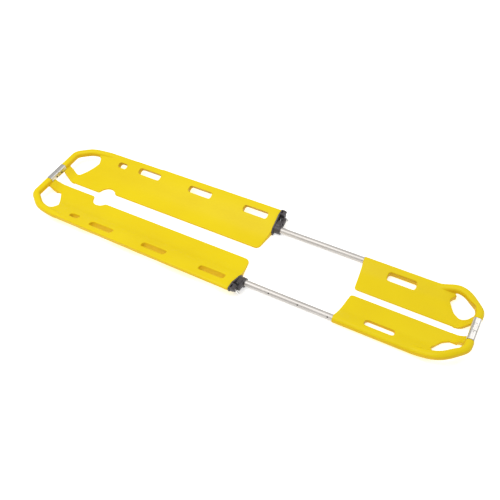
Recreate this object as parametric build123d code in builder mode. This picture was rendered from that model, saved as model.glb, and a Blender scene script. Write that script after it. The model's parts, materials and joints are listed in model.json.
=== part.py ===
"""Folding scoop stretcher: two lengthwise halves with telescopic, fold-over foot sections.

Millimetres. +X runs from the head end to the foot end, +Y to the left half, +Z up, and Z = 0 is
the surface that the blades rest on. Pieces of the left half (+Y) are modelled and mirrored in
the XZ plane for the right half.
"""
import os
from math import cos, radians, sin

from build123d import *

os.makedirs("parts", exist_ok=True)

# --- driving dimensions -----------------------------------------------------------------------
half_length = 1005.0          # origin to the outer face of either end loop
half_width = 236.0            # origin to the outer edge of a torso blade
torso_end_x = 82.0            # foot end of the torso blades, where the hinge brackets bolt on
foot_front_x = 497.0          # front edge of the foot blades with the tubes run right out
index_pitch = 127.0           # the telescopic travel is three of these

tube_y, tube_z = 156.0, 21.0  # axis of an extension tube
tube_r, tube_wall = 14.0, 2.0
tube_tail_x, tube_tip_x = 90.5, 790.0
slide_gap = 0.3               # radial gap between the tube and what it slides in

loop_r = 17.0                 # hand loops at the four corners, and the foot blades' rims
loop_x = half_length - loop_r
loop_z = 51.0

coupling_y = 50.0             # outer ends of the coupling sleeves
coupling_split = {"head": 0.0, "foot": -10.0}
coupling_w, coupling_h = 30.0, 32.0
shaft_r, shaft_gap = 7.8, 0.3
spigot_r, spigot_len, fit_gap = 10.0, 26.0, 0.1
cross_pin_r = 2.5

hinge_x, hinge_z = 98.0, 56.0  # fold axis, parallel to Y
hinge_pin_r, knuckle_r = 4.0, 9.0
ear_t = 6.0
ear_in_y, ear_out_y = 205.0, 226.0
plate_t = 6.0                 # back plate of a hinge bracket
block_front_x, collar_front_x = 113.0, 115.6
shoulder_front_x = 117.0      # part of the block outside the foot blade run right in
arm_front_x = 106.5
shoulder_y = (177.0, 206.0)
block_top_z, block_under_z = 46.0, 29.5   # the block stays clear of the ears as it turns
block_ring_r = 20.0

index_angle = 38.0            # the index holes face outwards and this far up
index_x = hinge_x
pin_r, pin_travel = 2.7, 4.0
boss_r, boss_top = 7.0, 38.5
knob_r, knob_h = 6.5, 7.0

lever_x, lever_z = 103.0, 38.5
lever_reach, lever_drop = 15.0, -14.5
lever_slot_y, lever_slot_x = (213.0, 218.0), 95.5
lever_r, lever_tip_r, lever_pin_r = 5.0, 3.8, 2.0

slot_tilt = 22.0              # the torso's hand slots are cut square to the dished surface
torso_slot_x = (-585.0, -308.0, -23.0)
torso_slot = (118.0, 31.0)
torso_slot_yz = (183.0, 49.0)
strap_hole = (-737.0, 46.0, 26.0)
foot_slot_x, foot_slot_yz, foot_slot_tilt = 672.0, (121.0, 23.0), 3.0
foot_slot = (118.0, 34.0)
slot_corner_r = 10.0

bore_r, bore_end_x = 14.6, -300.0
sleeve_r, sleeve_len = 16.2, 34.0
screw_r, screw_len = 2.5, 20.0
screw_head_r, screw_head_t = 4.5, 3.0
screw_yz = ((135.0, 12.0), (184.0, 36.0), (218.0, 44.0))
rivet_r, rivet_head_r, rivet_head_t, rivet_sink = 2.5, 5.0, 1.8, 3.0
coupling_rivet_y = 64.0
tube_rivet_x = (560.0, 736.0)
rivet_z = tube_z - loop_r + rivet_sink        # undersides of the blades' rivet heads
loop_rivet_z = loop_z - loop_r + 1.2

neck_x, neck_y, neck_r = -724.0, 16.0, 40.0
head_inner_y, inner_y = 14.0, 34.0


def write(part, name):
    """Label one piece and write it as its own STEP file."""
    part.label = name
    export_step(part, f"parts/{name}.step")


def write_pair(part, name):
    """Write a left-hand piece and its mirror image for the right half."""
    write(part, f"{name}_left")
    write(part.mirror(Plane.XZ), f"{name}_right")


def across(x, z, y=0.0):
    """Plane square to +Y whose local x runs along +X and local y along +Z at (x, z)."""
    return Plane(origin=(x, y, z), x_dir=(1, 0, 0), z_dir=(0, -1, 0))


def tilted(x, yz, tilt=slot_tilt):
    """Plane leaning with the surface of a left blade, x along the stretcher."""
    lean = radians(tilt)
    return Plane(origin=(x, yz[0], yz[1]), x_dir=(1, 0, 0), z_dir=(0, -sin(lean), cos(lean)))


lean = radians(index_angle)
index_out = Vector(0, cos(lean), sin(lean))


def index_plane(x, radius):
    """Plane square to the index direction, at a distance from the tube's axis."""
    centre = Vector(x, tube_y, tube_z) + index_out * radius
    return Plane(origin=centre, x_dir=(1, 0, 0), z_dir=index_out)


def end_ramp(end, corner, low_z, out_y):
    """Web from a blade's flat plate up to its end loop; end is -1 at the head, +1 at the foot."""
    high_z = loop_z + ramp_rise
    with BuildPart() as web:
        with BuildSketch(Plane.XZ.offset(-out_y)):
            with BuildLine():
                upper = Spline((end * (corner - 14), low_z), (end * (corner + 12), low_z + 13),
                               (end * (loop_x - 18), high_z - 14), (end * loop_x, high_z))
                lower = Spline((end * loop_x, high_z - 22), (end * (loop_x - 14), high_z - 32),
                               (end * (corner + 14), 4), (end * (corner - 22), 0))
                Line(upper @ 1, lower @ 0)
                Line(lower @ 1, upper @ 0)
            make_face()
        extrude(amount=out_y)
        with BuildSketch():
            with BuildLine():
                edge = Spline((end * (corner - 26), head_inner_y), (end * corner, head_inner_y + 2),
                              (end * (corner + 22), head_inner_y + 11), (end * ramp_x, ramp_edge_y))
                Polyline(edge @ 1, (end * ramp_x, ramp_in_y), (end * loop_x, ramp_in_y),
                         (end * loop_x, out_y), (end * (corner - 26), out_y), edge @ 0)
            make_face()
        extrude(amount=90, mode=Mode.INTERSECT)
    return web.part


def opening_tool(corners):
    """Upright prism that cuts a hand hole; corners lists (x, y, fillet radius)."""
    with BuildPart() as tool:
        with BuildSketch() as outline:
            with BuildLine():
                Polyline(*[(x, y) for x, y, radius in corners], close=True)
            make_face()
            for x, y, radius in corners:
                fillet(outline.vertices().sort_by_distance((x, y))[0], radius)
        extrude(amount=90)
    return tool.part


def rivet_seat_tool(x, y, top_z, seat_z):
    """Hole and head recess of a rivet that is set from below."""
    with BuildPart() as tool:
        with BuildSketch(Plane.XY.offset(top_z)):
            with Locations((x, y)):
                Circle(rivet_r + fit_gap)
        extrude(amount=-top_z)
        with BuildSketch(Plane.XY.offset(seat_z)):
            with Locations((x, y)):
                Circle(rivet_head_r + 0.3)
        extrude(amount=-seat_z)
    return tool.part


def rivet(x, y, top_z, seat_z):
    """Blind rivet with its head down, reaching up to top_z."""
    with BuildPart() as blind:
        with BuildSketch(Plane.XY.offset(top_z - 0.5)):
            with Locations((x, y)):
                Circle(rivet_r)
        extrude(amount=-(top_z - 0.5 - seat_z) - 1)
        with BuildSketch(Plane.XY.offset(seat_z - 0.1)):
            with Locations((x, y)):
                Circle(rivet_head_r)
        extrude(amount=-rivet_head_t)
        fillet(blind.edges().filter_by(GeomType.CIRCLE).group_by(Axis.Z)[0], 1)
    return blind.part


# --- torso blade ------------------------------------------------------------------------------
head_corner_x = -935.0        # where the flat plate starts to rise to the head coupling
ramp_in_y, ramp_out_y, foot_ramp_out_y = 50.5, 74.0, 66.0
ramp_edge_y, ramp_rise = 29.0, 9.0
ramp_x = loop_x - coupling_w / 2 - 0.4
head_hole = ((-966, 76, 15), (-969, 112, 18), (-956, 147, 22), (-924, 172, 24), (-867, 184, 13),
             (-858, 150, 14), (-926, 64, 16))
foot_hole = ((868, 116, 12), (883, 138, 10), (905, 137, 18), (966, 98, 15), (971, 66, 13),
             (955, 56, 10), (922, 56, 18), (898, 72, 14))

with BuildPart() as torso_blade:
    with BuildSketch() as torso_plan:
        with BuildLine():
            Polyline(
                (torso_end_x - 14, inner_y), (torso_end_x, 129), (torso_end_x, half_width),
                (-840, 222), (-868, 210), (-878, 190), (-872, 150),
                (-945, ramp_out_y), (-952, ramp_out_y),
                (-952, 30), (head_corner_x, head_inner_y), (neck_x, head_inner_y),
                (neck_x, inner_y), close=True,
            )
        make_face()
        with Locations((neck_x, neck_y)):
            Circle(neck_r, mode=Mode.SUBTRACT)
        for x, y, radius in (
            (neck_x - neck_r, head_inner_y, 11), (neck_x + neck_r * 0.89, inner_y, 11),
            (head_corner_x, head_inner_y, 20), (torso_end_x - 14, inner_y, 24),
            (torso_end_x, half_width, 10),
        ):
            fillet(torso_plan.vertices().sort_by_distance((x, y))[0], radius)
    extrude(amount=90)
    with BuildSketch(Plane.YZ.offset(-half_length)) as torso_section:
        with BuildLine():
            top = Spline((head_inner_y, 9), (inner_y, 10), (90, 15), (124, 26), (150, 39), (183, 51.5), (227, 62))
            Polyline(top @ 1, (half_width, 57), (half_width, 48), (229, 41), (187, 24), (176, 7), (166, 1),
                     (128, 0), (head_inner_y + 4, 0), (head_inner_y, 3), top @ 0)
        make_face()
        for y, z, radius in ((229, 41, 8), (187, 24, 12), (176, 7, 6), (half_width, 57, 4), (half_width, 48, 3)):
            fillet(torso_section.vertices().sort_by_distance((y, z))[0], radius)
    extrude(amount=half_length + torso_end_x + 10, mode=Mode.INTERSECT)
    for slot_x in torso_slot_x:
        with BuildSketch(tilted(slot_x, torso_slot_yz)):
            RectangleRounded(torso_slot[0], torso_slot[1], slot_corner_r)
        extrude(amount=60, both=True, mode=Mode.SUBTRACT)
    with BuildSketch(tilted(strap_hole[0], (178, 48))):
        RectangleRounded(strap_hole[1], strap_hole[2], slot_corner_r)
    extrude(amount=60, both=True, mode=Mode.SUBTRACT)
    add(end_ramp(-1, -head_corner_x, 9, ramp_out_y))
    with BuildLine() as head_loop:
        head_run = Line((-loop_x, coupling_y + 0.5, loop_z), (-loop_x, 128, loop_z))
        Spline(head_run @ 1, (-963, 165, 51), (-928, 190, 50), (-880, 203, 49), (-826, 209, 48),
               tangents=(head_run % 1, (1, 0.08, 0)))
    with BuildSketch(Plane(origin=head_run @ 0, z_dir=head_run % 0)):
        Circle(loop_r)
    sweep()
    # the loop fades into the rim of the blade
    fade_start = head_loop.wires()[0] @ 1
    with BuildSketch(Plane(origin=fade_start, z_dir=(1, 0.08, 0))):
        Circle(loop_r)
    with BuildSketch(Plane(origin=fade_start + Vector(90, 8, 3), z_dir=(1, 0.08, 0))):
        Circle(4)
    loft()
    add(opening_tool(head_hole), mode=Mode.SUBTRACT)
    # tunnel for the extension tube, with a wider mouth for its guide sleeve
    with BuildSketch(Plane.YZ.offset(bore_end_x)):
        with Locations((tube_y, tube_z)):
            Circle(bore_r)
    extrude(amount=torso_end_x - bore_end_x + 5, mode=Mode.SUBTRACT)
    with BuildSketch(Plane.YZ.offset(torso_end_x)):
        with Locations((tube_y, tube_z)):
            Circle(sleeve_r)
    extrude(amount=-sleeve_len, mode=Mode.SUBTRACT)
    # pilot holes for the bracket screws
    with BuildSketch(Plane.YZ.offset(torso_end_x)):
        with Locations(*screw_yz):
            Circle(screw_r + fit_gap)
    extrude(amount=-screw_len, mode=Mode.SUBTRACT)
    # socket and rivet hole for the head coupling's spigot
    with BuildSketch(Plane.XZ.offset(-coupling_y)):
        with Locations((-loop_x, loop_z)):
            Circle(spigot_r + fit_gap)
    extrude(amount=-(spigot_len + 2), mode=Mode.SUBTRACT)
    add(rivet_seat_tool(-loop_x, coupling_rivet_y, loop_z, loop_rivet_z), mode=Mode.SUBTRACT)

write_pair(torso_blade.part, "torso_blade")

# --- foot blade -------------------------------------------------------------------------------
with BuildPart() as foot_blade:
    with BuildSketch() as foot_plan:
        with BuildLine():
            Polyline(
                (foot_front_x + 16, head_inner_y), (foot_front_x, tube_y), (850, tube_y), (874, 149),
                (888, 138), (888, 116), (905, foot_ramp_out_y), (952, foot_ramp_out_y), (952, 30),
                (-head_corner_x, head_inner_y), close=True,
            )
        make_face()
        for x, y, radius in ((foot_front_x + 16, head_inner_y, 14), (-head_corner_x, head_inner_y, 18)):
            fillet(foot_plan.vertices().sort_by_distance((x, y))[0], radius)
    extrude(amount=90)
    with BuildSketch(Plane.YZ.offset(foot_front_x - 10)) as foot_section:
        with BuildLine():
            top = Spline((head_inner_y, 8), (60, 12), (104, 18), (130, 29), (tube_y, tube_z + loop_r))
            Polyline(top @ 1, (tube_y, tube_z - loop_r), (130, 2), (110, 0), (head_inner_y + 4, 0),
                     (head_inner_y, 3), top @ 0)
        make_face()
    extrude(amount=500, mode=Mode.INTERSECT)
    with BuildSketch(tilted(foot_slot_x, foot_slot_yz, foot_slot_tilt)):
        RectangleRounded(foot_slot[0], foot_slot[1], slot_corner_r)
    extrude(amount=60, both=True, mode=Mode.SUBTRACT)
    add(end_ramp(1, -head_corner_x, 8, foot_ramp_out_y))
    with BuildLine() as foot_rim:
        rim_run = Line((foot_front_x, tube_y, tube_z), (800, tube_y, tube_z))
        bend = Spline(rim_run @ 1, (846, 159, 31), (886, 160, 45), (918, 149, 50), (960, 115, loop_z),
                      (982, 92, loop_z), (loop_x, 66, loop_z), tangents=(rim_run % 1, (0, -1, 0)))
        Line(bend @ 1, (loop_x, coupling_y + 0.5, loop_z))
    with BuildSketch(Plane.YZ.offset(foot_front_x)):
        with Locations((tube_y, tube_z)):
            Circle(loop_r)
    sweep()
    add(opening_tool(foot_hole), mode=Mode.SUBTRACT)
    # tunnel that the tube is riveted into
    with BuildSketch(Plane.YZ.offset(foot_front_x)):
        with Locations((tube_y, tube_z)):
            Circle(tube_r + fit_gap)
    extrude(amount=tube_tip_x + 2 - foot_front_x, mode=Mode.SUBTRACT)
    for rivet_x in tube_rivet_x:
        add(rivet_seat_tool(rivet_x, tube_y, tube_z, rivet_z), mode=Mode.SUBTRACT)
    with BuildSketch(Plane.XZ.offset(-coupling_y)):
        with Locations((loop_x, loop_z)):
            Circle(spigot_r + fit_gap)
    extrude(amount=-(spigot_len + 2), mode=Mode.SUBTRACT)
    add(rivet_seat_tool(loop_x, coupling_rivet_y, loop_z, loop_rivet_z), mode=Mode.SUBTRACT)

write_pair(foot_blade.part, "foot_blade")

# --- rivets of the blades ---------------------------------------------------------------------
with BuildPart() as tube_rivets:
    for rivet_x in tube_rivet_x:
        add(rivet(rivet_x, tube_y, tube_z, rivet_z))

write_pair(tube_rivets.part, "tube_rivets")

for end_name, end_x in (("head", -loop_x), ("foot", loop_x)):
    write_pair(rivet(end_x, coupling_rivet_y, loop_z, loop_rivet_z), f"{end_name}_rivet")

# --- extension tube ---------------------------------------------------------------------------
with BuildPart() as extension_tube:
    with BuildSketch(Plane.YZ.offset(tube_tail_x)):
        with Locations((tube_y, tube_z)):
            Circle(tube_r)
            Circle(tube_r - tube_wall, mode=Mode.SUBTRACT)
    extrude(amount=tube_tip_x - tube_tail_x)
    for step in range(4):
        with BuildSketch(index_plane(index_x + step * index_pitch, 0)):
            Circle(pin_r + slide_gap)
        extrude(amount=tube_r + 2, mode=Mode.SUBTRACT)
    with BuildSketch(Plane.XY.offset(tube_z)):
        with Locations(*[(x, tube_y) for x in tube_rivet_x]):
            Circle(rivet_r + fit_gap)
    extrude(amount=-tube_z, mode=Mode.SUBTRACT)

write_pair(extension_tube.part, "extension_tube")

plug_x = tube_tail_x - 1.0
with BuildPart() as tube_tail_plug:
    with BuildSketch(Plane.YZ.offset(plug_x)):
        with Locations((tube_y, tube_z)):
            Circle(tube_r - 0.4)
    extrude(amount=0.95)
    with BuildSketch(Plane.YZ.offset(tube_tail_x - 0.05)):
        with Locations((tube_y, tube_z)):
            Circle(tube_r - tube_wall - fit_gap)
    extrude(amount=3.5)

write_pair(tube_tail_plug.part, "tube_tail_plug")

# --- guide sleeve in the mouth of the torso tunnel ----------------------------------------------
with BuildPart() as guide_sleeve:
    with BuildSketch(Plane.YZ.offset(torso_end_x - sleeve_len + 0.2)):
        with Locations((tube_y, tube_z)):
            Circle(sleeve_r - fit_gap)
            Circle(tube_r + slide_gap, mode=Mode.SUBTRACT)
    extrude(amount=sleeve_len - 0.4)

write_pair(guide_sleeve.part, "guide_sleeve")

# --- hinge bracket on the torso blade -----------------------------------------------------------
bracket_x = torso_end_x + 0.1
with BuildPart() as hinge_bracket:
    with BuildSketch(Plane.YZ.offset(bracket_x)) as back_plate:
        with BuildLine():
            Polyline((129, 1.5), (129, 24), (143, 38), (163, 47), (190, 60), (199, 65), (230, 65),
                     (235, 60), (235, 45), (228, 38), (192, 22), (181, 4), (172, 1.5), close=True)
        make_face()
        fillet(back_plate.vertices(), 2.5)
        with Locations((tube_y, tube_z)):
            Circle(tube_r + slide_gap + 0.2, mode=Mode.SUBTRACT)
    extrude(amount=plate_t)
    fillet(hinge_bracket.faces().sort_by(Axis.X)[-1].outer_wire().edges(), 1.2)
    with BuildSketch(Plane.YZ.offset(bracket_x)):
        with Locations(*screw_yz):
            Circle(screw_r + fit_gap)
    extrude(amount=plate_t, mode=Mode.SUBTRACT)
    with BuildSketch(Plane.YZ.offset(bracket_x + plate_t)):
        with Locations(*screw_yz):
            Circle(screw_head_r + 0.2)
    extrude(amount=-screw_head_t - 0.2, mode=Mode.SUBTRACT)
    for ear_y in (ear_in_y, ear_out_y):
        with BuildSketch(across(hinge_x, hinge_z, ear_y)):
            Circle(knuckle_r)
            with BuildLine():
                Polyline((bracket_x - hinge_x + 2, knuckle_r), (0, knuckle_r), (knuckle_r, 0),
                         (0, -knuckle_r), (bracket_x - hinge_x + 2, -knuckle_r), close=True)
            make_face()
        extrude(amount=-ear_t)
    with BuildSketch(across(hinge_x, hinge_z, ear_in_y)):
        Circle(hinge_pin_r + 0.05)
    extrude(amount=-(ear_out_y + ear_t - ear_in_y), mode=Mode.SUBTRACT)

write_pair(hinge_bracket.part, "hinge_bracket")

with BuildPart() as bracket_screws:
    with BuildSketch(Plane.YZ.offset(bracket_x + plate_t - screw_head_t - 0.05)):
        with Locations(*screw_yz):
            Circle(screw_r)
    extrude(amount=-screw_len - plate_t + screw_head_t + 1)
    with BuildSketch(Plane.YZ.offset(bracket_x + plate_t - screw_head_t - 0.05)):
        with Locations(*screw_yz):
            Circle(screw_head_r)
    extrude(amount=screw_head_t)
    with BuildSketch(Plane.YZ.offset(bracket_x + plate_t - 0.05)):
        with Locations(*screw_yz):
            RegularPolygon(1.7, 6)
    extrude(amount=-1.6, mode=Mode.SUBTRACT)

write_pair(bracket_screws.part, "bracket_screws")

with BuildPart() as hinge_pin:
    with BuildSketch(across(hinge_x, hinge_z, ear_in_y - 1.5)):
        Circle(hinge_pin_r + 1.6)
    extrude(amount=-1.4)
    with BuildSketch(across(hinge_x, hinge_z, ear_in_y - 0.1)):
        Circle(hinge_pin_r)
    extrude(amount=-(ear_out_y + ear_t - ear_in_y + 0.3))
    chamfer(hinge_pin.edges().group_by(Axis.Y)[0], 0.5)

write_pair(hinge_pin.part, "hinge_pin")

# --- pivot block that carries the tube ----------------------------------------------------------
block_rear_x = bracket_x + plate_t + 0.6
knuckle_in_y, knuckle_out_y = ear_in_y + ear_t + 0.4, ear_out_y - 0.4
with BuildPart() as pivot_block:
    with BuildSketch(Plane.YZ.offset(block_rear_x)):
        with BuildLine():
            Polyline((150, 38), (163, block_top_z - 2), (178, block_top_z), (knuckle_out_y, block_top_z),
                     (knuckle_out_y, 39), (216, 32), (shoulder_y[1], block_under_z), (190, 24),
                     (180, 10), (174, 5), (150, 8), close=True)
        make_face()
    extrude(amount=arm_front_x - block_rear_x)
    for y_from, y_to, front_x in ((150, shoulder_y[0], block_front_x), (*shoulder_y, shoulder_front_x)):
        with BuildSketch(Plane.YZ.offset(arm_front_x - 1)):
            with BuildLine():
                Polyline((y_from, block_top_z - (2 if y_from > 150 else 8)), (y_to, block_top_z - 2),
                         (y_to, block_under_z), (y_from, 23 if y_from > 150 else 6), close=True)
            make_face()
        extrude(amount=front_x - arm_front_x + 1)
    fillet(pivot_block.faces().filter_by(Axis.X).group_by(Axis.X)[-1].edges(), 2)
    with BuildSketch(Plane.YZ.offset(block_rear_x)):
        with Locations((tube_y, tube_z)):
            Circle(block_ring_r)
    extrude(amount=collar_front_x - block_rear_x)
    with BuildSketch(across(hinge_x, hinge_z, knuckle_in_y)):
        Circle(knuckle_r - 0.4)
        with Locations((0, -6)):
            Rectangle(2 * (knuckle_r - 0.4), 12)
    extrude(amount=-(knuckle_out_y - knuckle_in_y))
    # boss of the index pin, and the seat sunk around its knob
    with BuildSketch(index_plane(index_x, block_ring_r - 3)):
        Circle(boss_r)
    extrude(amount=boss_top - block_ring_r + 3)
    with BuildSketch(index_plane(index_x, boss_top)):
        Circle(knob_r + 0.8)
    extrude(amount=20, mode=Mode.SUBTRACT)
    with BuildSketch(Plane.YZ.offset(block_rear_x)):
        with Locations((tube_y, tube_z)):
            Circle(tube_r + slide_gap)
    extrude(amount=shoulder_front_x - block_rear_x, mode=Mode.SUBTRACT)
    with BuildSketch(index_plane(index_x, 0)):
        Circle(pin_r + slide_gap)
    extrude(amount=boss_top + 1, mode=Mode.SUBTRACT)
    with BuildSketch(across(hinge_x, hinge_z, knuckle_in_y)):
        Circle(hinge_pin_r + slide_gap)
    extrude(amount=-(knuckle_out_y - knuckle_in_y), mode=Mode.SUBTRACT)
    # slot and cross hole of the lock lever
    with BuildSketch(across(lever_slot_x, 0, lever_slot_y[0])):
        Rectangle(shoulder_front_x - lever_slot_x, block_top_z - 0.5, align=(Align.MIN, Align.MIN))
    extrude(amount=-(lever_slot_y[1] - lever_slot_y[0]), mode=Mode.SUBTRACT)
    with BuildSketch(across(lever_x, lever_z, lever_slot_y[0] - 5)):
        Circle(lever_pin_r + 0.05)
    extrude(amount=-(lever_slot_y[1] - lever_slot_y[0] + 9), mode=Mode.SUBTRACT)

write_pair(pivot_block.part, "pivot_block")

# --- index pin and its pull knob ----------------------------------------------------------------
pin_tip = tube_r + slide_gap
knob_bottom = boss_top + pin_travel + 0.5
with BuildPart() as index_pin:
    with BuildSketch(index_plane(index_x, pin_tip)):
        Circle(pin_r)
    extrude(amount=knob_bottom + 4 - pin_tip)
    chamfer(index_pin.edges().filter_by(GeomType.CIRCLE).group_by(Axis.Z)[0], 0.8)

write_pair(index_pin.part, "index_pin")

with BuildPart() as index_knob:
    with BuildSketch(index_plane(index_x, knob_bottom)):
        Circle(knob_r)
    extrude(amount=knob_h)
    fillet(index_knob.edges().filter_by(GeomType.CIRCLE).group_by(Axis.Z)[-1], 2)
    with BuildSketch(index_plane(index_x, knob_bottom)):
        Circle(pin_r + 0.05)
    extrude(amount=4.1, mode=Mode.SUBTRACT)

write_pair(index_knob.part, "index_knob")

# --- lock lever in the slot of the pivot block ----------------------------------------------------
with BuildPart() as lock_lever:
    with BuildSketch(across(lever_x, lever_z, lever_slot_y[0] + slide_gap)):
        Circle(lever_r)
        with Locations((lever_reach, lever_drop)):
            Circle(lever_tip_r)
        make_hull()
        Circle(lever_pin_r + slide_gap, mode=Mode.SUBTRACT)
    extrude(amount=-(lever_slot_y[1] - lever_slot_y[0] - 2 * slide_gap))
    for side in (0, -1):
        fillet(lock_lever.faces().filter_by(Axis.Y).sort_by(Axis.Y)[side].outer_wire().edges(), 0.8)

write_pair(lock_lever.part, "lock_lever")

with BuildPart() as lever_pivot:
    with BuildSketch(across(lever_x, lever_z, lever_slot_y[0] - 4.8)):
        Circle(lever_pin_r)
    extrude(amount=-(lever_slot_y[1] - lever_slot_y[0] + 8.6))

write_pair(lever_pivot.part, "lever_pivot")

# --- end couplings ------------------------------------------------------------------------------
button_y = 17.0
button_r, button_gap, button_proud, button_travel = 4.2, 0.3, 1.6, 3.0
pad_y, pad_len, pad_w, pad_sink, pad_travel = 22.0, 24.0, 12.0, 0.4, 2.5
shaft_in, shaft_out = 35.0, 30.0      # how far the shaft reaches into the plug and the socket
groove_r, groove_w = 5.0, 9.6
flange_t = 0.3


def coupling_sleeve(end_x, y_from, y_to, side):
    """Square sleeve with a round spigot towards its blade; side is +1 for the left half."""
    with BuildPart() as sleeve:
        with BuildSketch(Plane.XZ.offset(-y_from)):
            with Locations((end_x, loop_z)):
                RectangleRounded(coupling_w, coupling_h, 9)
        extrude(amount=y_from - y_to)
        rims = sleeve.faces().filter_by(Axis.Y)
        fillet(rims.sort_by(Axis.Y)[-1].edges() + rims.sort_by(Axis.Y)[0].edges(), 1.5)
        blade_side = y_to if side > 0 else y_from
        with BuildSketch(Plane.XZ.offset(-blade_side)):
            with Locations((end_x, loop_z)):
                Circle(spigot_r)
        extrude(amount=-side * spigot_len)
        with BuildSketch(Plane.XY.offset(loop_z)):
            with Locations((end_x, side * coupling_rivet_y)):
                Circle(rivet_r + fit_gap)
        extrude(amount=-coupling_h, mode=Mode.SUBTRACT)
    return sleeve.part


for end_name, end_x, split in (("head", -loop_x, coupling_split["head"]), ("foot", loop_x, coupling_split["foot"])):
    with BuildPart() as socket:
        add(coupling_sleeve(end_x, split + flange_t, coupling_y, 1))
        with BuildSketch(Plane.XZ.offset(-split)):
            with Locations((end_x, loop_z)):
                Circle(shaft_r + shaft_gap)
        extrude(amount=-(shaft_out + 2), mode=Mode.SUBTRACT)
        if end_name == "head":
            with BuildSketch(Plane.YZ.offset(end_x)):
                with Locations((button_y, loop_z)):
                    Circle(button_r + button_gap)
            extrude(amount=coupling_w, mode=Mode.SUBTRACT)
        else:
            with BuildSketch(Plane.XY.offset(loop_z)):
                with Locations((end_x, split + pad_y)):
                    Circle(button_r + button_gap)
            extrude(amount=coupling_h, mode=Mode.SUBTRACT)
            with BuildSketch(Plane.XY.offset(loop_z + coupling_h / 2 - pad_sink - pad_travel - 1.8)):
                with Locations((end_x, split + pad_y)):
                    RectangleRounded(pad_w + 2 * button_gap, pad_len + 2 * button_gap, 3)
            extrude(amount=10, mode=Mode.SUBTRACT)
    write(socket.part, f"{end_name}_socket")

    with BuildPart() as plug:
        add(coupling_sleeve(end_x, -coupling_y, split - flange_t, -1))
        with BuildSketch(Plane.XZ.offset(-(split - shaft_in - 1))):
            with Locations((end_x, loop_z)):
                Circle(shaft_r + fit_gap)
        extrude(amount=-(shaft_in + 5), mode=Mode.SUBTRACT)
        if end_name == "head":
            with BuildSketch(Plane.YZ.offset(end_x)):
                with Locations((split - button_y, loop_z)):
                    Circle(button_r + button_gap)
            extrude(amount=coupling_w, mode=Mode.SUBTRACT)
        else:
            with Locations((end_x, split - 8, loop_z)):
                Cylinder(cross_pin_r + 0.05, 60, mode=Mode.SUBTRACT)
    write(plug.part, f"{end_name}_plug")

    grooves = (split + button_y, split - button_y) if end_name == "head" else (split + pad_y,)
    with BuildPart() as shaft:
        with BuildSketch(Plane.XZ.offset(-(split - shaft_in))):
            with Locations((end_x, loop_z)):
                Circle(shaft_r)
        extrude(amount=-(shaft_in + shaft_out))
        chamfer(shaft.edges().group_by(Axis.Y)[-1], 1.5)
        for groove_y in grooves:
            with BuildSketch(Plane.XZ.offset(-(groove_y - groove_w / 2))):
                with Locations((end_x, loop_z)):
                    Circle(shaft_r + 1)
                    Circle(groove_r, mode=Mode.SUBTRACT)
            extrude(amount=-groove_w, mode=Mode.SUBTRACT)
        if end_name == "foot":
            with Locations((end_x, split - 8, loop_z)):
                Cylinder(cross_pin_r + 0.05, 60, mode=Mode.SUBTRACT)
    write(shaft.part, f"{end_name}_shaft")

with BuildPart() as head_button:
    with BuildSketch(Plane.YZ.offset(-loop_x + shaft_r + 0.4)):
        with Locations((button_y, loop_z)):
            Circle(button_r)
    extrude(amount=coupling_w / 2 + button_proud - shaft_r - 0.4)
    fillet(head_button.edges().group_by(Axis.X)[-1], 1)

write_pair(head_button.part, "head_button")

with BuildPart() as foot_button:
    with BuildSketch(Plane.XY.offset(loop_z + shaft_r + 0.4)):
        with Locations((loop_x, coupling_split["foot"] + pad_y)):
            Circle(button_r)
    extrude(amount=coupling_h / 2 - pad_sink - shaft_r - 0.4)
    with BuildSketch(Plane.XY.offset(loop_z + coupling_h / 2 - pad_sink - 1.6)):
        with Locations((loop_x, coupling_split["foot"] + pad_y)):
            RectangleRounded(pad_w, pad_len, 2.7)
    extrude(amount=1.6)
    fillet(foot_button.edges().group_by(Axis.Z)[-1], 0.6)

write(foot_button.part, "foot_button")

with BuildPart() as foot_cross_pin:
    with Locations((loop_x, coupling_split["foot"] - 8, loop_z)):
        Cylinder(cross_pin_r, coupling_h - 4)
    chamfer(foot_cross_pin.edges().filter_by(GeomType.CIRCLE), 0.4)

write(foot_cross_pin.part, "foot_cross_pin")
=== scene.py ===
"""Looks of a folding scoop stretcher: moulded blades, satin tubes, dark hinge housings."""
from __future__ import annotations

import json
import logging
import math
from dataclasses import dataclass, field
from enum import Enum

import bpy
from mathutils import Matrix, Vector


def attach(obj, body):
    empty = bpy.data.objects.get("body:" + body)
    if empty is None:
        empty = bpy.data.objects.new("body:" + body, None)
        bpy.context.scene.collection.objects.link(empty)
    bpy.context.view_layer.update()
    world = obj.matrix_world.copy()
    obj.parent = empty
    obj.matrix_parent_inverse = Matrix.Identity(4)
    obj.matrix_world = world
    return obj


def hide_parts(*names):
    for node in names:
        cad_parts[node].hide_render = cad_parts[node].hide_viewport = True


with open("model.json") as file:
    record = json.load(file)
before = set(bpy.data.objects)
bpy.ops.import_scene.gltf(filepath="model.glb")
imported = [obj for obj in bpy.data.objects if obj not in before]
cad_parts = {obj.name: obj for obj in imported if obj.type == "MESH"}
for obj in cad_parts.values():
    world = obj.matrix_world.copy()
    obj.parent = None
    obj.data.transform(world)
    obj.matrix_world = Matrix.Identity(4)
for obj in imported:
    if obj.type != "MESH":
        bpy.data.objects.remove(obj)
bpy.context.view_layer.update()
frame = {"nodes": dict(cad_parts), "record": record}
UPWARD = "upward"
LOG = logging.getLogger("stretcher")

Colour = tuple[float, float, float]
WHITE = (1.0, 1.0, 1.0, 1.0)

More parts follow.
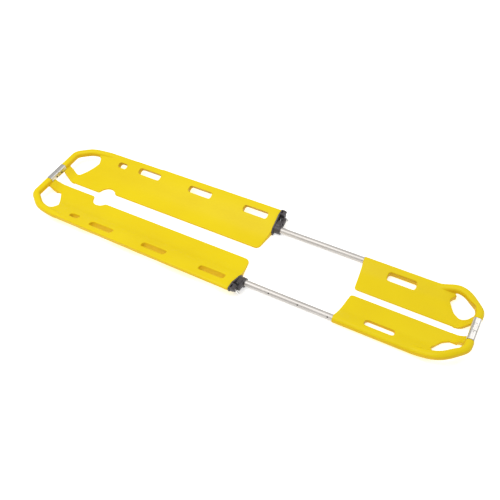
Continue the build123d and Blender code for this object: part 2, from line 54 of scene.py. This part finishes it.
# Noise settings of the pattern groups.
PEEL_NOISE = {"Detail": 3.0, "Roughness": 0.55}
DRIFT_NOISE = {"Detail": 2.0}
RUB_NOISE = {"Scale": 38.0, "Detail": 6.0, "Roughness": 0.7}
LINE_NOISE = {"Detail": 4.0, "Roughness": 0.6}
BROAD_NOISE = {"Scale": 160.0, "Detail": 2.0}
BLOTCH_NOISE = {"Detail": 3.0}
RUB_ONSET, RUB_FULL = 0.56, 0.74          # only the noise's peaks show as rub marks

# How the finishes read those patterns.
TONE_LOW, TONE_HIGH = 0.3, 0.7            # ends of a two-tone ramp
MASK_LOW, MASK_HIGH = 0.25, 0.75          # range that a noise mostly keeps to
# Painted shade: the blades' side walls turn from the shade colour to the face colour between these two
# upward shares.
WALL_TURN, LEVEL_TURN = 0.30, 0.80        # upward share of a side wall and of a level face
MOULDED_DRIFT_SCALE, METAL_BLOTCH_SCALE = 4.0, 25.0
MOULDED_BUMP, METAL_BUMP = 0.5, 0.4

MERGE_DISTANCE = 0.00001


class Side(Enum):
    """The two lengthwise halves, with the sign of Y that each one has."""

    LEFT = 1
    RIGHT = -1

    @property
    def word(self) -> str:
        """Lower-case name used in node and body names."""
        return self.name.lower()


class Grain(Enum):
    """Direction in which a worked surface's fine lines run, as scales of a noise's coordinates."""

    EVEN = (1.0, 1.0, 1.0)
    ALONG_X = (0.03, 1.0, 1.0)
    ALONG_Y = (1.0, 0.03, 1.0)


# ------------------------------------------------------------------------------------------------
# Shader node groups
# ------------------------------------------------------------------------------------------------


def group_shell(name: str, inputs: dict[str, float], outputs: tuple[str, ...]) -> bpy.types.NodeTree:
    """Make an empty shader node group with float sockets.

    Args:
        name: The group's name.
        inputs: Name and default value of each input.
        outputs: Name of each output.

    Returns:
        The group's node tree, with its Group Input and Group Output nodes added.
    """
    tree = bpy.data.node_groups.new(name, "ShaderNodeTree")
    tree.interface.new_socket("Vector", in_out="INPUT", socket_type="NodeSocketVector")
    for label, value in inputs.items():
        socket = tree.interface.new_socket(label, in_out="INPUT", socket_type="NodeSocketFloat")
        socket.default_value = value
    for label in outputs:
        tree.interface.new_socket(label, in_out="OUTPUT", socket_type="NodeSocketFloat")
    tree.nodes.new("NodeGroupInput").name = "in"
    tree.nodes.new("NodeGroupOutput").name = "out"
    return tree


def add_noise(tree: bpy.types.NodeTree, values: dict[str, float]) -> bpy.types.Node:
    """Add a noise texture that reads the group's Vector input.

    Args:
        tree: A group made by group_shell.
        values: The noise's own input values.

    Returns:
        The noise's node.
    """
    noise = tree.nodes.new("ShaderNodeTexNoise")
    for label, value in values.items():
        noise.inputs[label].default_value = value
    tree.links.new(tree.nodes["in"].outputs["Vector"], noise.inputs["Vector"])
    return noise


def build_moulded_skin() -> bpy.types.NodeTree:
    """Group for blow-moulded plastic: orange peel, a slow tone drift and faint rub marks.

    Returns:
        A group with outputs Height, Tone and Rub, each from 0 to 1.
    """
    scales = {"Peel Scale": 420.0, "Drift Scale": 5.0}
    tree = group_shell("moulded_skin", scales, ("Height", "Tone", "Rub"))
    nodes, links = tree.nodes, tree.links
    source, sink = nodes["in"], nodes["out"]
    peel, drift, rub = (add_noise(tree, values) for values in (PEEL_NOISE, DRIFT_NOISE, RUB_NOISE))
    sharpen = nodes.new("ShaderNodeMapRange")
    sharpen.inputs["From Min"].default_value = RUB_ONSET
    sharpen.inputs["From Max"].default_value = RUB_FULL
    links.new(source.outputs["Peel Scale"], peel.inputs["Scale"])
    links.new(source.outputs["Drift Scale"], drift.inputs["Scale"])
    links.new(peel.outputs["Fac"], sink.inputs["Height"])
    links.new(drift.outputs["Fac"], sink.inputs["Tone"])
    links.new(rub.outputs["Fac"], sharpen.inputs["Value"])
    links.new(sharpen.outputs["Result"], sink.inputs["Rub"])
    return tree


def build_worked_metal() -> bpy.types.NodeTree:
    """Group for drawn, brushed or tumbled metal: fine lines, blotches and small handling marks.

    Returns:
        A group with outputs Height, Streak and Blotch, each from 0 to 1.
    """
    scales = {"Line Scale": 900.0, "Blotch Scale": 30.0}
    tree = group_shell("worked_metal", scales, ("Height", "Streak", "Blotch"))
    nodes, links = tree.nodes, tree.links
    source, sink = nodes["in"], nodes["out"]
    lines, broad, blotch = (add_noise(tree, values) for values in (LINE_NOISE, BROAD_NOISE, BLOTCH_NOISE))
    links.new(source.outputs["Line Scale"], lines.inputs["Scale"])
    links.new(source.outputs["Blotch Scale"], blotch.inputs["Scale"])
    links.new(lines.outputs["Fac"], sink.inputs["Height"])
    links.new(broad.outputs["Fac"], sink.inputs["Streak"])
    links.new(blotch.outputs["Fac"], sink.inputs["Blotch"])
    return tree


def build_painted_side_shade() -> bpy.types.NodeTree:
    """Group for painted shade: marks the upright side walls, which are coloured darker as if less light fell
    on them.

    Returns:
        A group whose output Top is 1 on level faces and 0 on upright ones.
    """
    tree = bpy.data.node_groups.new("painted_side_shade", "ShaderNodeTree")
    for label, value in (("Upward", 0.0), ("Turn", WALL_TURN), ("Full", LEVEL_TURN)):
        socket = tree.interface.new_socket(label, in_out="INPUT", socket_type="NodeSocketFloat")
        socket.default_value = value
    tree.interface.new_socket("Top", in_out="OUTPUT", socket_type="NodeSocketFloat")
    source, sink = tree.nodes.new("NodeGroupInput"), tree.nodes.new("NodeGroupOutput")
    ease = tree.nodes.new("ShaderNodeMapRange")
    ease.interpolation_type = "SMOOTHSTEP"
    tree.links.new(source.outputs["Upward"], ease.inputs["Value"])
    tree.links.new(source.outputs["Turn"], ease.inputs["From Min"])
    tree.links.new(source.outputs["Full"], ease.inputs["From Max"])
    tree.links.new(ease.outputs["Result"], sink.inputs["Top"])
    return tree


@dataclass
class ShaderBench:
    """Small helper that lays out one material's nodes."""

    material: bpy.types.Material
    nodes: bpy.types.Nodes = field(init=False)
    links: bpy.types.NodeLinks = field(init=False)
    shader: bpy.types.Node = field(init=False)

    def __post_init__(self) -> None:
        """Clear the material and add its shader and output."""
        self.material.use_nodes = True
        self.nodes = self.material.node_tree.nodes
        self.links = self.material.node_tree.links
        self.nodes.clear()
        output = self.nodes.new("ShaderNodeOutputMaterial")
        self.shader = self.nodes.new("ShaderNodeBsdfPrincipled")
        self.links.new(self.shader.outputs["BSDF"], output.inputs["Surface"])

    def pattern(self, group: bpy.types.NodeTree, stretch: Grain, values: dict[str, float]) -> bpy.types.Node:
        """Place a pattern group that reads stretched Object coordinates.

        Args:
            group: The pattern's node group.
            stretch: How the coordinates are stretched before the pattern.
            values: The group's own input values.

        Returns:
            The group's node.
        """
        place = self.nodes.new("ShaderNodeTexCoord")
        mapping = self.nodes.new("ShaderNodeMapping")
        mapping.inputs["Scale"].default_value = stretch.value
        node = self.nodes.new("ShaderNodeGroup")
        node.node_tree = group
        self.links.new(place.outputs["Object"], mapping.inputs["Vector"])
        self.links.new(mapping.outputs["Vector"], node.inputs["Vector"])
        for label, value in values.items():
            node.inputs[label].default_value = value
        return node

    def blend(self, mask: bpy.types.NodeSocket, low: Colour, high: Colour) -> bpy.types.NodeSocket:
        """Mix two colours by a mask.

        Args:
            mask: The mask, from 0 to 1.
            low: Colour where the mask is at TONE_LOW or less.
            high: Colour where the mask is at TONE_HIGH or more.

        Returns:
            The mixed colour's socket.
        """
        ramp = self.nodes.new("ShaderNodeValToRGB")
        ramp.color_ramp.elements[0].position = TONE_LOW
        ramp.color_ramp.elements[0].color = (*low, 1.0)
        ramp.color_ramp.elements[1].position = TONE_HIGH
        ramp.color_ramp.elements[1].color = (*high, 1.0)
        self.links.new(mask, ramp.inputs["Fac"])
        return ramp.outputs["Color"]

    def spread(self, mask: bpy.types.NodeSocket, low: float, high: float) -> bpy.types.NodeSocket:
        """Map a noise's usual range to low..high.

        Args:
            mask: The mask.
            low: Value where the mask is at MASK_LOW or less.
            high: Value where the mask is at MASK_HIGH or more.

        Returns:
            The mapped value's socket.
        """
        node = self.nodes.new("ShaderNodeMapRange")
        node.inputs["From Min"].default_value = MASK_LOW
        node.inputs["From Max"].default_value = MASK_HIGH
        node.inputs["To Min"].default_value = low
        node.inputs["To Max"].default_value = high
        self.links.new(mask, node.inputs["Value"])
        return node.outputs["Result"]

    def paint_side_shade(
        self, group: bpy.types.NodeTree, colour: bpy.types.NodeSocket, side_shade_colour: Colour
    ) -> bpy.types.NodeSocket:
        """Paint shade on upright side walls by turning a colour darker there.

        Args:
            group: The depth tint group.
            colour: Colour of the level faces.
            side_shade_colour: Painted shade colour of the side walls.

        Returns:
            The mixed colour's socket.
        """
        facing = self.nodes.new("ShaderNodeAttribute")
        facing.attribute_name = UPWARD
        finder = self.nodes.new("ShaderNodeGroup")
        finder.node_tree = group
        # Painted shade is mixed in where the faces stand upright.
        mix = self.nodes.new("ShaderNodeMix")
        mix.data_type = "RGBA"
        mix.inputs["A"].default_value = (*side_shade_colour, 1.0)
        self.links.new(facing.outputs["Fac"], finder.inputs["Upward"])
        self.links.new(finder.outputs["Top"], mix.inputs["Factor"])
        self.links.new(colour, mix.inputs["B"])
        return mix.outputs["Result"]

    def bump(self, height: bpy.types.NodeSocket, strength: float, depth: float) -> None:
        """Feed a height to the shader's normal.

        Args:
            height: The height's socket.
            strength: Strength of the bump, from 0 to 1.
            depth: Depth of the relief in metres.
        """
        node = self.nodes.new("ShaderNodeBump")
        node.inputs["Strength"].default_value = strength
        node.inputs["Distance"].default_value = depth
        self.links.new(height, node.inputs["Height"])
        self.links.new(node.outputs["Normal"], self.shader.inputs["Normal"])


@dataclass(frozen=True)
class MouldedFinish:
    """A moulded plastic: two close tones, a roughness range, an orange-peel relief and an optional painted
    shade on its side walls.
    """

    name: str
    tone: Colour
    shade: Colour
    rough: tuple[float, float]
    peel_scale: float
    peel_depth: float
    specular: float = 0.45
    # Painted shade colour for upright side walls; None leaves the colour even.
    side_shade_colour: Colour | None = None

    def build(self, skin: bpy.types.NodeTree, shade_group: bpy.types.NodeTree) -> bpy.types.Material:
        """Make the material.

        Args:
            skin: The moulded skin group.
            shade_group: The painted side shade group.

        Returns:
            The finished material.
        """
        bench = ShaderBench(bpy.data.materials.new(self.name))
        scales = {"Peel Scale": self.peel_scale, "Drift Scale": MOULDED_DRIFT_SCALE}
        surface = bench.pattern(skin, Grain.EVEN, scales)
        colour = bench.blend(surface.outputs["Tone"], self.shade, self.tone)
        # Painted shade on the upright side walls.
        if self.side_shade_colour is not None:
            colour = bench.paint_side_shade(shade_group, colour, self.side_shade_colour)
        bench.links.new(colour, bench.shader.inputs["Base Color"])
        roughness = bench.spread(surface.outputs["Rub"], *self.rough)
        bench.links.new(roughness, bench.shader.inputs["Roughness"])
        bench.shader.inputs["Specular IOR Level"].default_value = self.specular
        bench.bump(surface.outputs["Height"], MOULDED_BUMP, self.peel_depth)
        return bench.material


@dataclass(frozen=True)
class MetalFinish:
    """A bare metal: two close tones, a roughness range and the way that its lines run."""

    name: str
    tone: Colour
    shade: Colour
    rough: tuple[float, float]
    grain: Grain
    line_scale: float
    line_depth: float
    metallic: float = 1.0

    def build(self, metal: bpy.types.NodeTree) -> bpy.types.Material:
        """Make the material.

        Args:
            metal: The worked metal group.

        Returns:
            The finished material.
        """
        bench = ShaderBench(bpy.data.materials.new(self.name))
        scales = {"Line Scale": self.line_scale, "Blotch Scale": METAL_BLOTCH_SCALE}
        surface = bench.pattern(metal, self.grain, scales)
        colour = bench.blend(surface.outputs["Streak"], self.shade, self.tone)
        bench.links.new(colour, bench.shader.inputs["Base Color"])
        roughness = bench.spread(surface.outputs["Blotch"], *self.rough)
        bench.links.new(roughness, bench.shader.inputs["Roughness"])
        bench.shader.inputs["Metallic"].default_value = self.metallic
        bench.bump(surface.outputs["Height"], METAL_BUMP, self.line_depth)
        return bench.material


MOULDED_FINISHES: dict[str, MouldedFinish] = {
    "blade_plastic": MouldedFinish(
        name="blade_yellow", tone=(0.78, 0.60, 0.004), shade=(0.75, 0.56, 0.004),
        rough=(0.42, 0.55), peel_scale=260.0, peel_depth=0.0004,
        # Painted shade: the darker amber of the side walls stands in for their shade; the plastic itself is
        # an even yellow.
        specular=0.14, side_shade_colour=(0.68, 0.44, 0.006),
    ),
    "housing_plastic": MouldedFinish(
        name="housing_black", tone=(0.064, 0.055, 0.058), shade=(0.046, 0.040, 0.042),
        rough=(0.45, 0.60), peel_scale=900.0, peel_depth=0.0002,
    ),
    "bushing_plastic": MouldedFinish(
        name="bushing_pale", tone=(0.62, 0.61, 0.57), shade=(0.55, 0.54, 0.50),
        rough=(0.35, 0.45), peel_scale=700.0, peel_depth=0.0001,
    ),
    "knob_plastic": MouldedFinish(
        name="knob_black", tone=(0.030, 0.030, 0.032), shade=(0.022, 0.022, 0.024),
        rough=(0.25, 0.38), peel_scale=900.0, peel_depth=0.0001,
    ),
    "button_plastic": MouldedFinish(
        name="button_black", tone=(0.035, 0.034, 0.033), shade=(0.025, 0.025, 0.026),
        rough=(0.30, 0.42), peel_scale=900.0, peel_depth=0.0001,
    ),
}
METAL_FINISHES: dict[str, MetalFinish] = {
    "tube_aluminium": MetalFinish(
        name="tube_satin", tone=(0.60, 0.57, 0.54), shade=(0.50, 0.47, 0.44), rough=(0.40, 0.50),
        grain=Grain.ALONG_X, line_scale=900.0, line_depth=0.00006, metallic=0.6,
    ),
    "coupling_aluminium": MetalFinish(
        name="coupling_tumbled", tone=(0.72, 0.70, 0.67), shade=(0.60, 0.58, 0.55), rough=(0.26, 0.38),
        grain=Grain.ALONG_Y, line_scale=500.0, line_depth=0.0001,
    ),
    "steel": MetalFinish(
        name="steel_turned", tone=(0.62, 0.62, 0.62), shade=(0.52, 0.52, 0.53), rough=(0.22, 0.34),
        grain=Grain.ALONG_Y, line_scale=1200.0, line_depth=0.00004,
    ),
    "dark_steel": MetalFinish(
        name="steel_blackened", tone=(0.085, 0.080, 0.078), shade=(0.060, 0.057, 0.056), rough=(0.34, 0.48),
        grain=Grain.EVEN, line_scale=900.0, line_depth=0.00004, metallic=0.6,
    ),
    "rivet_steel": MetalFinish(
        name="rivet_set", tone=(0.56, 0.55, 0.53), shade=(0.47, 0.46, 0.45), rough=(0.26, 0.40),
        grain=Grain.EVEN, line_scale=700.0, line_depth=0.00006,
    ),
    "lever_steel": MetalFinish(
        name="lever_plated", tone=(0.80, 0.80, 0.80), shade=(0.72, 0.72, 0.73), rough=(0.10, 0.20),
        grain=Grain.ALONG_X, line_scale=1200.0, line_depth=0.00003,
    ),
}


@dataclass
class PaintShop:
    """Builds every finish once and dresses the carried-over nodes by their material slot."""

    materials: dict[str, bpy.types.Material] = field(default_factory=dict)

    def open(self) -> None:
        """Build the shared groups and all finishes."""
        skin = build_moulded_skin()
        metal = build_worked_metal()
        # Mask group for the painted shade on the blades' side walls.
        shade_group = build_painted_side_shade()
        for slot, finish in MOULDED_FINISHES.items():
            self.materials[slot] = finish.build(skin, shade_group)
        for slot, finish in METAL_FINISHES.items():
            self.materials[slot] = finish.build(metal)

    def dress_nodes(self) -> None:
        """Give every node of the frame the finish of its slot."""
        for part in frame["record"]["subparts"]:
            node = frame["nodes"][part["node"]]
            self.coat(node, part["material_slot"])

    def coat(self, piece: bpy.types.Object, slot: str) -> None:
        """Replace all of a piece's materials by one finish.

        Args:
            piece: A frame node or a new piece.
            slot: The record's material slot.
        """
        if not piece.material_slots:
            piece.data.materials.append(self.materials[slot])
        for holder in piece.material_slots:
            holder.link = "OBJECT"
            holder.material = self.materials[slot]


# ------------------------------------------------------------------------------------------------
# Modelling helpers
# ------------------------------------------------------------------------------------------------


def deselect_all() -> None:
    """Leave object mode with nothing selected."""
    if bpy.context.mode != "OBJECT":
        bpy.ops.object.mode_set(mode="OBJECT")
    bpy.ops.object.select_all(action="DESELECT")


def take(piece: bpy.types.Object) -> None:
    """Select one piece and make it active."""
    deselect_all()
    piece.select_set(True)
    bpy.context.view_layer.objects.active = piece


def finish_modifiers(piece: bpy.types.Object) -> None:
    """Apply all modifiers of a piece in their order."""
    take(piece)
    for modifier in list(piece.modifiers):
        bpy.ops.object.modifier_apply(modifier=modifier.name)


# ------------------------------------------------------------------------------------------------
# Sub-assemblies
# ------------------------------------------------------------------------------------------------


@dataclass
class MouldedBlade:
    """Blow-moulded skin of one blade: the frame's solid with every corner softened."""

    node: str
    body: str
    name: str
    voxel: float = 0.0022
    relax_steps: int = 8
    relax_factor: float = 0.5

    def build(self, shop: PaintShop) -> bpy.types.Object:
        """Copy the solid, remesh it finely, relax it and stand it in for the node.

        Args:
            shop: The finishes.

        Returns:
            The finished skin.
        """
        source = frame["nodes"][self.node]
        skin = bpy.data.objects.new(self.name, source.data.copy())
        bpy.context.scene.collection.objects.link(skin)
        self.close(skin)
        remesh = skin.modifiers.new("even_skin", "REMESH")
        remesh.mode = "VOXEL"
        remesh.voxel_size = self.voxel
        remesh.use_smooth_shade = True
        relax = skin.modifiers.new("soft_corners", "SMOOTH")
        relax.factor = self.relax_factor
        relax.iterations = self.relax_steps
        finish_modifiers(skin)
        self.mark_upward(skin)
        skin.data.materials.clear()
        shop.coat(skin, "blade_plastic")
        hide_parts(self.node)
        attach(skin, self.body)
        return skin

    def mark_upward(self, skin: bpy.types.Object) -> None:
        """Store how far each vertex faces up or down, which places the painted shade on the side walls.

        Args:
            skin: The finished skin.
        """
        upward = skin.data.attributes.new(UPWARD, "FLOAT", "POINT")
        upward.data.foreach_set("value", [abs(vertex.normal.z) for vertex in skin.data.vertices])

    def close(self, skin: bpy.types.Object) -> None:
        """Join the copy's loose triangles into one closed shell.

        Args:
            skin: The copy.
        """
        take(skin)
        bpy.ops.object.mode_set(mode="EDIT")
        bpy.ops.mesh.select_all(action="SELECT")
        bpy.ops.mesh.remove_doubles(threshold=MERGE_DISTANCE)
        bpy.ops.object.mode_set(mode="OBJECT")


@dataclass(frozen=True)
class SoftLamp:
    """One round soft lamp that faces the origin, in metres and watts."""

    name: str
    place: tuple[float, float, float]
    size: float
    power: float


@dataclass
class Studio:
    """Floor, soft light and camera."""

    azimuth: float = 30.89
    elevation: float = 49.94
    roll: float = -4.14
    distance: float = 2.505
    target: tuple[float, float, float] = (0.1557, 0.0, 0.0899)
    lens: float = 44.58
    shift: tuple[float, float] = (-0.0434, -0.0032)
    sensor_width: float = 36.0
    view_depth: float = 50.0
    floor_size: float = 14.0
    floor_drop: float = 0.0006
    floor_tone: float = 0.90
    floor_glow: float = 0.50
    floor_roughness: float = 0.9
    floor_specular: float = 0.1
    surround_strength: float = 0.60
    lamps: tuple[SoftLamp, ...] = (
        SoftLamp("key_lamp", (-0.8, -0.6, 3.0), 2.6, 58.0),
        SoftLamp("rim_lamp", (1.6, 2.2, 2.4), 2.2, 18.0),
    )

    def build(self) -> None:
        """Set up the whole studio."""
        self.lay_floor()
        self.light()
        self.place_camera()
        bpy.context.scene.view_settings.view_transform = "Standard"

    def lay_floor(self) -> None:
        """Pale seamless floor just under the stretcher."""
        deselect_all()
        bpy.ops.mesh.primitive_plane_add(size=self.floor_size, location=(0.0, 0.0, -self.floor_drop))
        floor = bpy.context.active_object
        floor.name = "studio_floor"
        bench = ShaderBench(bpy.data.materials.new("floor_pale"))
        bench.shader.inputs["Base Color"].default_value = (*[self.floor_tone] * 3, 1.0)
        bench.shader.inputs["Emission Color"].default_value = WHITE
        bench.shader.inputs["Emission Strength"].default_value = self.floor_glow
        bench.shader.inputs["Roughness"].default_value = self.floor_roughness
        bench.shader.inputs["Specular IOR Level"].default_value = self.floor_specular
        floor.data.materials.append(bench.material)

    def light(self) -> None:
        """Hang the white surround and the large soft lamps."""
        world = bpy.data.worlds.new("studio_surround")
        world.use_nodes = True
        surround = world.node_tree.nodes["Background"]
        surround.inputs["Color"].default_value = WHITE
        surround.inputs["Strength"].default_value = self.surround_strength
        bpy.context.scene.world = world
        for soft in self.lamps:
            lamp = bpy.data.lights.new(soft.name, "AREA")
            lamp.shape = "DISK"
            lamp.size = soft.size
            lamp.energy = soft.power
            holder = bpy.data.objects.new(soft.name, lamp)
            holder.location = soft.place
            aim = -Vector(soft.place)
            holder.rotation_euler = aim.to_track_quat("-Z", "Y").to_euler()
            bpy.context.scene.collection.objects.link(holder)

    def place_camera(self) -> None:
        """Aim the camera at the stretcher."""
        turn, rise, tilt = (math.radians(v) for v in (self.azimuth, self.elevation, self.roll))
        level = math.cos(rise)
        back = Vector((math.sin(turn) * level, -math.cos(turn) * level, math.sin(rise)))
        right = Vector((math.cos(turn), math.sin(turn), 0.0))
        up = back.cross(right)
        right, up = (
            right * math.cos(tilt) + up * math.sin(tilt),
            up * math.cos(tilt) - right * math.sin(tilt),
        )
        lens = bpy.data.cameras.new("studio_camera")
        lens.lens = self.lens
        lens.sensor_width = self.sensor_width
        lens.shift_x, lens.shift_y = self.shift
        lens.clip_end = self.view_depth
        camera = bpy.data.objects.new("studio_camera", lens)
        camera.matrix_world = (
            Matrix.Translation(Vector(self.target) + back * self.distance)
            @ Matrix((right, up, back)).transposed().to_4x4()
        )
        bpy.context.scene.collection.objects.link(camera)
        bpy.context.scene.camera = camera


def main() -> None:
    """Build the whole scene in order and report each piece."""
    logging.basicConfig(level=logging.INFO, format="%(name)s: %(message)s")
    shop = PaintShop()
    shop.open()
    shop.dress_nodes()
    for side in Side:
        for section in ("torso", "foot"):
            blade = MouldedBlade(
                node=f"{section}_blade_{side.word}",
                body=f"{section}_{side.word}",
                name=f"{section}_skin_{side.word}",
            )
            piece = blade.build(shop)
            LOG.info("%s has %d faces", piece.name, len(piece.data.polygons))
    Studio().build()


if __name__ == "__main__":
    main()
